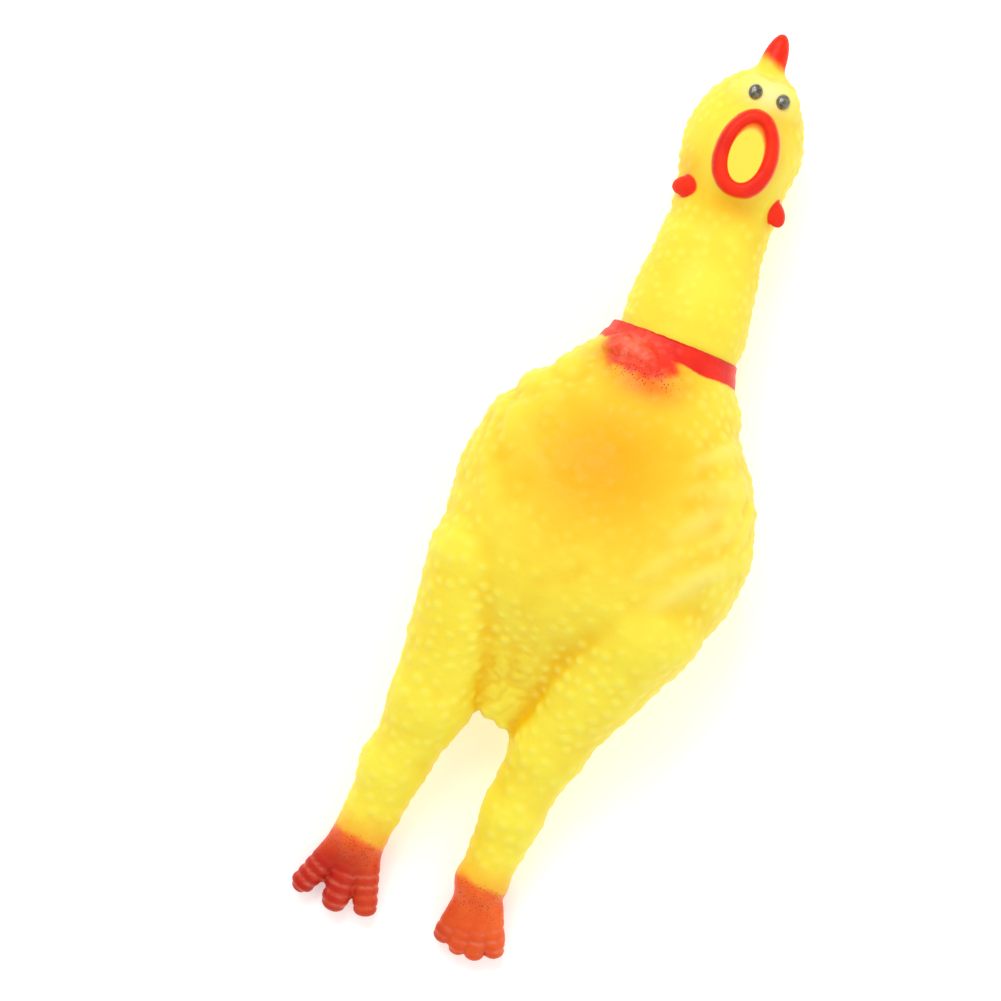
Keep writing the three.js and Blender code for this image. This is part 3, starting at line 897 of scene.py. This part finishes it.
def body_marks(p):
    """What each point of the body carries: pimples, wrinkles, paint, painted shade and painted highlight."""
    x, y, z = p.T
    from_axis = collar_line(p)
    collar = np.minimum(y - collar_paint_low - 0.25 * np.sin(0.9 * x + 0.7 * z), 37.0 - y)
    collar = np.where(from_axis > collar_inside - 0.2, collar, unpainted)
    knot = spot(p, (-4.4, 31.0, 26.0), (11.4, 6.0, 9.5))
    wrapped = np.maximum(collar, np.where(from_axis > collar_inside, 1.5 * (knot - 0.5), unpainted))
    foot_middle = np.where(x > between_legs, 4.0, -18.8)
    feet = -(y - foot_paint_top + 0.12 * (x - foot_middle))
    lower = spot(p, (-1.2, 26.6, 29.0), (8.0, 4.2, 6.5))
    # Painted shade: a deeper orange over the middle of the chest.
    chest_painted_shade = spot(p, (-4.0, 13.0, 37.0), (24.0, 23.0, 20.0))
    crease = toe_creases(p) * ramp(z, 2.0, 4.0)
    bare = np.maximum(ramp(y, 31.0, 32.0), ramp(-y, 60.5, 62.5))
    bare = np.maximum(bare, np.clip(1.25 * knot, 0, 1))
    outside = ramp(from_axis, collar_inside, collar_inside + 0.8) + ramp(29.5 - y, 0, 1)
    flap = spot(p, (-5.0, -28.0, 20.0), (7.0, 12.0, 14.0)) * ramp(z, 6, 12)
    bottom = ramp(z, 1.0, 3.0)
    calm = (1 - 0.45 * ramp(z, 24, 35)) * (1 - 0.2 * ramp(-y, 20, 35))
    droplets = spot(p, (-2.4, 28.4, 28.0), (7.5, 3.0, 6.0)) * 1.6
    droplets = droplets + 0.8 * ramp(-y, 62.4, 65.4) * ramp(y, -71.5, -67.5)
    # Painted shadow: dark red along the collar's upper rim, in the gap at the neck.
    collar_gap_shadow = ramp(y, 35.3, 36.0) * ramp(y, 38, 37)
    return {
        "bumpy": (1 - bare) * np.clip(outside, 0, 1) * (0.35 + 0.65 * bottom) * (1 - 0.6 * flap) * calm,
        "wrinkled": np.clip(1.1 * flap + 1.6 * knot, 0, 1),
        "lumpy": bottom * (1 - ramp(y, 31, 32)) * (1 - 0.7 * ramp(-y, 61, 64)),
        "reach": np.maximum(wrapped, feet),
        "speckle": np.clip(droplets, 0, 1),
        "blush": np.clip(0.8 * knot + 0.6 * lower + 0.4 * ramp(-y, 59.5, 64.5), 0, 1),
        "deep": np.clip(chest_painted_shade + 0.3 * ramp(-y, 56, 64), 0, 1),
        # Painted highlight: the feather strokes are paler where they stand out.
        "pale": np.clip(0.42 * stroke_relief(p) * ramp(x, -22, 10), 0, 0.4),
        "dark_red": np.clip(0.8 * collar_gap_shadow, 0, 1) + 0.9 * toe_depth(p),
        "crease": np.clip(0.5 * crease + 0.75 * knot * ramp(-x, -2, 7), 0, 1),
        "inside": np.zeros(len(p)),
    }


def toe_depth(p):
    """How deep red a foot is: the outer side and the toes' ends are darkest."""
    x, y, _ = p.T
    right = ramp(-y, 63.5, 71) * (0.75 + 0.25 * ramp(-x, 13, 21)) * (x < between_legs)
    left = 0.3 * ramp(-y, 69.5, 75.5) + 0.4 * ramp(-x, -4, 0.5) * ramp(-y, 66, 70)
    left = left * (x > between_legs)
    return np.clip(right + left, 0, 1)


def head_marks(p):
    """What each point of the neck and head carries."""
    x, y, z = p.T
    none = np.zeros(len(p))
    _, up = mouth_plan(p)
    gap = lip_gap(p)
    lip_foot = 22.6
    lips = np.where(z > lip_foot, 1.5 - np.abs(gap), -3.0)
    lips = np.where(gap < -0.4, np.minimum(0.6, (z - 23.9) * 0.35), lips)
    rim = ramp(-gap, 0.3, 0.9) * ramp(z, 21.5, 22.5)
    lips = lips - 0.8 * rim * ramp(up, 3.0, 5.0) * ramp(25.9 - z, 0, 0.8)
    from_comb = np.hypot(x - comb_axis[0], z - comb_axis[1])
    comb = 0.15 * (y - 87.0 + 0.3 * (x - comb_axis[0])) - 4 * ramp(from_comb, 2.6, 4.5)
    drops = 0.3 - np.minimum(*wattles(p))
    skull = loft(p, neck_shape)
    # Painted glow: the inside of the head, seen through the mouth, is paler and emits light, for light
    # through the thin vinyl.
    inside = ramp(-skull, 0.8, 1.3) * ramp(y, 50, 56) * ramp(85.5 - y, 0, 0.5)
    wall_blush = rim * ramp(z, 22.4, 25.0) * ramp(up, 1.0, 4.0)
    inside = np.maximum(inside, rim * ramp(25.6 - z, 0, 1.2) * (1 - 0.8 * wall_blush))
    face = spot(p, (-0.2, 80.9, 22.0), (6.4, 4.0, 6.0))
    halo = np.exp(-((np.maximum(gap, 0) / 2.6) ** 2)) * ramp(z, 19, 24)
    smooth = np.clip(1.5 * face + 1.4 * halo + ramp(y, 84, 85.5) + inside, 0, 1)
    smooth = np.maximum(smooth, ramp(drops, -1.6, -0.4))
    # Painted shade: a deeper orange under the jaw and the throat.
    jaw_painted_shade = spot(p, (-7.0, 65.0, 19.0), (5.0, 5.5, 7.0)) + spot(p, (0.5, 60.5, 22.0), (8.0, 3.5, 6.0))
    flushed = np.clip(0.3 * halo * ramp(x, -2, 4) + 0.4 * ramp(y, 85.2, 87.6), 0, 1)
    lip_side = ramp(-x, 3.2, 5.2) * ramp(z, 23.0, 26.0) * ramp(8 - np.abs(up), 0, 2)
    return {
        "bumpy": (1 - smooth) * ramp(y, 36.6, 37.6) * (1 - 0.5 * ramp(z, 17, 23)),
        "wrinkled": none,
        "lumpy": (1 - smooth) * ramp(y, 36.0, 38.0),
        "reach": np.maximum(np.maximum(lips, comb), drops),
        "speckle": none,
        "blush": flushed * (1 - inside) + np.maximum(0.4 * rim * ramp(z, 23.2, 25.2), 0.95 * wall_blush),
        "deep": np.clip(0.6 * jaw_painted_shade, 0, 1) * (1 - inside),
        "pale": np.clip(0.9 * face, 0, 1),
        "dark_red": 0.3 * lip_side * ramp(z, 22.0, 25.2),
        "crease": none,
        "inside": inside,
    }


# ---- Building the skins ----

marks_kept = (
    "reach", "speckle", "blush", "deep", "pale", "dark_red", "crease", "inside", "pimple", "relief",
)
plucked_skin = pimple_tree()
# Rounds of smoothing that give the calm surface to measure relief from.
relief_rounds = 24


def sculpt(name, field, marks, low, high, pitch, material, **skin):
    """A whole skin, pimpled and marked, with its numbers."""
    points, quads, layers = skin_mesh(field, low, high, pitch)
    points = even_out(points, quads, field, rounds=3, reach=pitch / 2)
    mesh = bpy.data.meshes.new(name)
    mesh.from_pydata((points * MM).tolist(), [], quads.tolist())
    for label, values in marks(points).items():
        set_numbers(mesh, label, values)
    obj = placed(name, mesh)
    mesh = apply_tree(obj, plucked_skin, vinyl=material, **skin)
    shaped = np.zeros(len(mesh.vertices) * 3)
    mesh.vertices.foreach_get("co", shaped)
    shaped = shaped.reshape(-1, 3) / MM
    normals = vertex_normals(shaped, quads)
    calm = shaped
    for _ in range(relief_rounds):
        calm = neighbour_mean(calm, quads)
    # Relief drives the painted shade in hollows and the painted highlight on high spots of the vinyl.
    set_numbers(mesh, "relief", ((shaped - calm) * normals).sum(axis=1))
    numbers = {label: get_numbers(mesh, label) for label in marks_kept}
    bpy.data.objects.remove(obj)
    return {
        "points": shaped, "quads": quads, "layers": layers, "normals": normals,
        "numbers": numbers, "low": low, "pitch": pitch, "material": material,
    }


def rims(faces):
    """The open edges of some faces, as closed rings in the faces' own order."""
    edges = dict.fromkeys((face[i], face[(i + 1) % 4]) for face in faces for i in range(4))
    following = {a: b for a, b in edges if (b, a) not in edges}
    rings = []
    while following:
        first = next(iter(following))
        ring, at = [], first
        while at in following:
            ring.append(at)
            at = following.pop(at)
        rings.append(ring)
    return sorted(rings, key=len, reverse=True)


def lid(ring, points, depth):
    """Closes a rim with a shallow cone sunk into the piece."""
    middle = points[ring].mean(axis=0) + depth
    apex = len(points)
    tris = [(ring[(i + 1) % len(ring)], ring[i], apex) for i in range(len(ring))]
    return tris, middle


def strip(outer, inner, points):
    """Closes the gap between the rims of a wall's outer and inner face."""
    centre = points[outer].mean(axis=0)

    def bearing(ring):
        rel = points[ring] - centre
        return np.unwrap(np.arctan2(rel[:, 2], rel[:, 0]))

    inner = inner[::-1]
    a, b = bearing(outer), bearing(inner)
    sign = np.sign(a[-1] - a[0])
    start = int(np.argmin(np.abs(np.angle(np.exp(1j * (b - a[0]))))))
    inner = inner[start:] + inner[:start]
    a, b = sign * bearing(outer + outer[:1]), sign * bearing(inner + inner[:1])
    b = b + 2 * np.pi * np.round((a[0] - b[0]) / (2 * np.pi))
    tris, i, j = [], 0, 0
    while i < len(outer) or j < len(inner):
        near, own = inner[j % len(inner)], outer[i % len(outer)]
        if j == len(inner) or (i < len(outer) and a[i + 1] <= b[j + 1]):
            tris.append((outer[(i + 1) % len(outer)], own, near))
            i += 1
        else:
            tris.append((near, inner[(j + 1) % len(inner)], own))
            j += 1
    return tris


# How deep a lid is sunk, and how near in height two rims of one cut are.
lid_depth = 0.8
same_level = 2


def cut_piece(name, skin, low_y=None, high_y=None, side=None, hollow=False):
    """The part of a skin between two heights, closed where it was cut."""
    layers, quads = skin["layers"], skin["quads"]
    lowest = layers[quads].min(axis=1)
    keep = np.ones(len(quads), bool)
    for height, above in ((low_y, True), (high_y, False)):
        if height is not None:
            layer = int((height - skin["low"][1]) / skin["pitch"])
            keep &= (lowest >= layer) == above
    if side is not None:
        keep &= (skin["points"][quads[:, 0], 0] > between_legs) == (side == "left")
    quads = quads[keep]
    used = np.unique(quads)
    renumber = np.full(len(layers), -1)
    renumber[used] = np.arange(len(used))
    quads = renumber[quads]
    points, normals = skin["points"][used], skin["normals"][used]
    numbers = {label: values[used] for label, values in skin["numbers"].items()}
    faces, added = quads.tolist(), []
    rings = rims(faces)
    if hollow:
        for ring in rings[::2]:
            height = points[ring, 1].mean()
            level = [r for r in rings if r is not ring and abs(points[r, 1].mean() - height) < same_level]
            added += strip(ring, level[0], points)
    else:
        for ring in rings:
            inward = np.sign(points[:, 1].mean() - points[ring, 1].mean())
            tris, middle = lid(ring, points, np.array((0, lid_depth * inward, 0)))
            added += tris
            points = np.vstack([points, middle])
            normals = np.vstack([normals, (0, -inward, 0)])
            numbers = {label: np.append(values, values[ring].mean()) for label, values in numbers.items()}
    mesh = bpy.data.meshes.new(name)
    mesh.from_pydata((points * MM).tolist(), [], faces + added)
    for label, values in numbers.items():
        set_numbers(mesh, label, values)
    mesh.shade_smooth()
    corner_normals = normals[quads.ravel()].tolist()
    for tri in added:
        a, b, c = points[list(tri)]
        flat = np.cross(b - a, c - a)
        flat = (flat / max(np.linalg.norm(flat), 1e-12)).tolist()
        corner_normals += [flat] * 3
    mesh.normals_split_custom_set(corner_normals)
    mesh.materials.append(skin["material"])
    return placed(name, mesh)


# The heights along Y at which the skins are cut.
hip_cut, thigh_cut, ankle_cut, head_cut = -38.6, -46.8, -59.4, 52.6

body_skin = sculpt(
    "body_skin", body_field, body_marks, (-31, -80, -0.8), (31, 37.5, 40), 0.5, body_vinyl,
    spacing=2.1 * MM, pimple_radius=1.35 * MM, pimple_height=0.3 * MM, lump_height=0.9 * MM,
    wrinkle_size=3.4 * MM, wrinkle_height=0.3 * MM, seed=7,
)
head_skin = sculpt(
    "head_skin", head_field, head_marks, (-13, 29.6, 2.5), (13, 93, 29), 0.4, head_vinyl,
    spacing=1.65 * MM, pimple_radius=1.1 * MM, pimple_height=0.28 * MM, lump_height=0.5 * MM, seed=11,
)


def finish_piece(piece, slot, *nodes):
    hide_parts(*nodes)


body = cut_piece("vinyl_body", body_skin, low_y=hip_cut)
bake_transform(body)
finish_piece(body, "yellow_vinyl", "torso_skin", "belly_skin")

for side in ("left", "right"):
    thigh = cut_piece(f"vinyl_thigh_{side}", body_skin, thigh_cut, hip_cut, side)
    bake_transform(thigh)
    finish_piece(thigh, "yellow_vinyl", f"thigh_{side}")
    shank = cut_piece(f"vinyl_shank_{side}", body_skin, ankle_cut, thigh_cut, side)
    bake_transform(shank)
    finish_piece(shank, "yellow_vinyl", f"shank_{side}")
    red_foot = cut_piece(f"vinyl_foot_{side}", body_skin, None, ankle_cut, side)
    red_foot.data.materials[0] = leg_vinyl
    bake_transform(red_foot)
    finish_piece(red_foot, "red_vinyl", f"foot_{side}")

neck = cut_piece("vinyl_neck", head_skin, None, head_cut, hollow=True)
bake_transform(neck)
finish_piece(neck, "yellow_vinyl", "neck_skin")
head = cut_piece("vinyl_head", head_skin, head_cut, None, hollow=True)
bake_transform(head)
finish_piece(head, "yellow_vinyl", "head_skin")


# ---- Eyes ----


# An eye from its root to its top: the radius at each height.
eye_rows = (
    (1.26, -0.5), (1.30, 0.05), (1.26, 0.2), (1.12, 0.45), (0.94, 0.64),
    (0.78, 0.73), (0.68, 0.72), (0.52, 0.8), (0.27, 0.86),
)
# An eye's width and height against these radii, and its lift off the skin.
eye_narrow, eye_tall = 0.94, 1.06
eye_lift = 0.1


def eye(name, centre, normal):
    """A glossy painted bead with a shallow ring around its pupil."""
    points, faces, around = [], [], 40
    for radius, height in eye_rows:
        for step in range(around):
            angle = 2 * math.pi * step / around
            x, y = radius * math.cos(angle), radius * math.sin(angle)
            points.append((eye_narrow * x, eye_tall * y, height))
    last = (len(eye_rows) - 1) * around
    for row in range(0, last, around):
        for step in range(around):
            a, b = row + step, row + (step + 1) % around
            faces.append((a, b, b + around, a + around))
    points += [(0, 0, eye_rows[0][1]), (0, 0, eye_rows[-1][1] + 0.03)]
    for step in range(around):
        onward = (step + 1) % around
        faces.append((onward, step, len(points) - 2))
        faces.append((last + step, last + onward, len(points) - 1))
    mesh = bpy.data.meshes.new(name)
    mesh.from_pydata(points, [], faces)
    turn = Vector((0, 0, 1)).rotation_difference(Vector(normal)).to_matrix().to_4x4()
    mesh.transform(Matrix.Scale(MM, 4) @ Matrix.Translation(centre) @ turn)
    mesh.shade_smooth()
    mesh.materials.append(eye_paint)
    obj = placed(name, mesh)
    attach(obj, "head")


def surface_height(x, y):
    """How high the face stands at a place, in millimetres."""
    heights = np.linspace(15, 27, 400)
    column = np.stack([np.full_like(heights, x), np.full_like(heights, y), heights], axis=1)
    return heights[np.nonzero(head_field(column) < 0)[0][-1]]


for side, x, y in (("right", -2.63, 80.5), ("left", 2.4, 80.6)):
    z = surface_height(x, y)
    aside = 0.5
    tilt = [(z - surface_height(*near)) / aside for near in ((x + aside, y), (x, y + aside))]
    eye(f"eye_{side}", (x, y, z + eye_lift), (*tilt, 1))


# ---- Squeaker, inside the neck ----

for node, material in (
    ("squeaker_barrel", white_plastic),
    ("squeaker_cap", cap_plastic),
    ("reed_holder", white_plastic),
    ("reed_wedge", cap_plastic),
    ("reed_tongue", reed_brass),
):
    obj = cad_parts[node]
    obj.data.materials.clear()
    obj.data.materials.append(material)


# ---- Floor, light and camera ----

white = (1, 1, 1, 1)
floor_half = 3
floor_glow = 0.3
room_light = 0.66

floor_material, floor_tree, floor_shader = new_material(
    "pale_floor", Roughness=0.6, Emission_Color=white, Emission_Strength=floor_glow,
)
floor_tone = mixed(floor_tree, noise_at(floor_tree, 6, 3.0), "FAFAF8", "F6F6F4")
floor_tree.links.new(floor_tone, floor_shader.inputs["Base Color"])
floor_mesh = bpy.data.meshes.new("floor")
floor_corners = [(x * floor_half, y * floor_half, 0) for x, y in ((-1, -1), (1, -1), (1, 1), (-1, 1))]
floor_mesh.from_pydata(floor_corners, [], [(0, 1, 2, 3)])
floor_mesh.materials.append(floor_material)
floor = placed("floor", floor_mesh)

world = bpy.data.worlds.new("studio")
world.use_nodes = True
background = world.node_tree.nodes["Background"]
background.inputs["Color"].default_value = white
background.inputs["Strength"].default_value = room_light
bpy.context.scene.world = world


def softbox(name, place, aim, width, height, watts):
    """A soft rectangular lamp at a place, aimed at another."""
    data = bpy.data.lights.new(name, "AREA")
    data.shape = "RECTANGLE"
    data.size, data.size_y = width, height
    data.energy = watts
    obj = placed(name, data)
    obj.location = place
    obj.rotation_euler = (Vector(aim) - Vector(place)).to_track_quat("-Z", "Y").to_euler()


softbox("key_softbox", (-0.35, 0.45, 0.75), (0, 0, 0.01), 0.5, 0.5, 3.0)
softbox("fill_softbox", (0.6, -0.3, 0.6), (0, 0, 0.01), 0.7, 0.7, 1.4)
softbox("window_strip", (-0.12, 0.5, 0.62), (0, 0.07, 0.02), 0.05, 0.4, 0.6)

lens, sensor = 180.0, 36.0
view_middle = Vector((-17.5, -0.6, 19.0)) * MM
view_width = 172 * MM
distance = view_width * lens / sensor
# How far the chicken's length leans to the right in the view.
lean = math.atan2(0.368, 0.930)
camera_data = bpy.data.cameras.new("camera")
camera_data.lens, camera_data.sensor_width = lens, sensor
camera = placed("camera", camera_data)
camera.location = view_middle + Vector((0, 0, distance))
camera.rotation_euler = (0, 0, lean)
bpy.context.scene.camera = camera
bpy.context.scene.view_settings.view_transform = "Standard"
